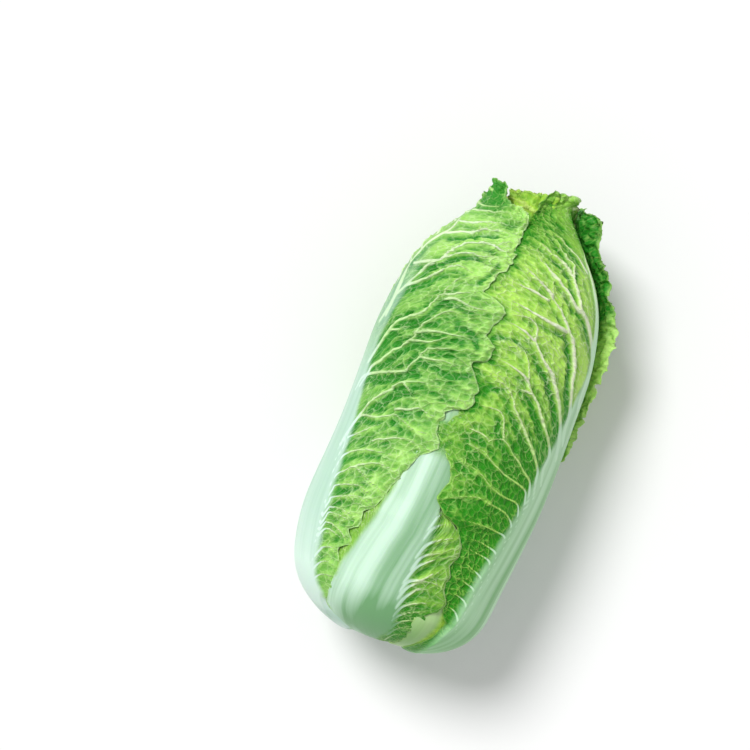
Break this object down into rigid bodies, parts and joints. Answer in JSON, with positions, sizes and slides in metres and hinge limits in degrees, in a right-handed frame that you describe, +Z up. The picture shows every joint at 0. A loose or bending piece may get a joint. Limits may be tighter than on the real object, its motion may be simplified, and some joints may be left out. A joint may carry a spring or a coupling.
{
  "type": "chinese cabbage",
  "caption": "Barrel-shaped napa cabbage head lying on its side, with broad pale ribs and crinkled green leaves tucked under one another",
  "frame": {"origin": "on the table, under the middle of the head's bounding box", "axes": "+Y along the head from its cut butt to its crown, +Z up through the side that shows, +X to the right seen from above with the crown away from the viewer"},
  "size_m": [0.1558, 0.3042, 0.1311],
  "materials": {
    "leaf": "waxy crinkled leaf with a pale rib",
    "dark_leaf": "waxy crinkled dark leaf with a pale rib",
    "heart_leaf": "tender yellow-green leaf",
    "stem": "moist cut face"
  },
  "bodies": {
    "root": {"stem": "stem", "heart": "heart_leaf", "left_leaf": "leaf", "right_leaf": "leaf", "front_leaf": "leaf", "rear_right_leaf": "dark_leaf", "under_leaf": "dark_leaf", "rear_left_leaf": "leaf", "inner_leaf_1": "heart_leaf", "inner_leaf_2": "heart_leaf", "inner_leaf_3": "heart_leaf"}
  },
  "joints": []
}
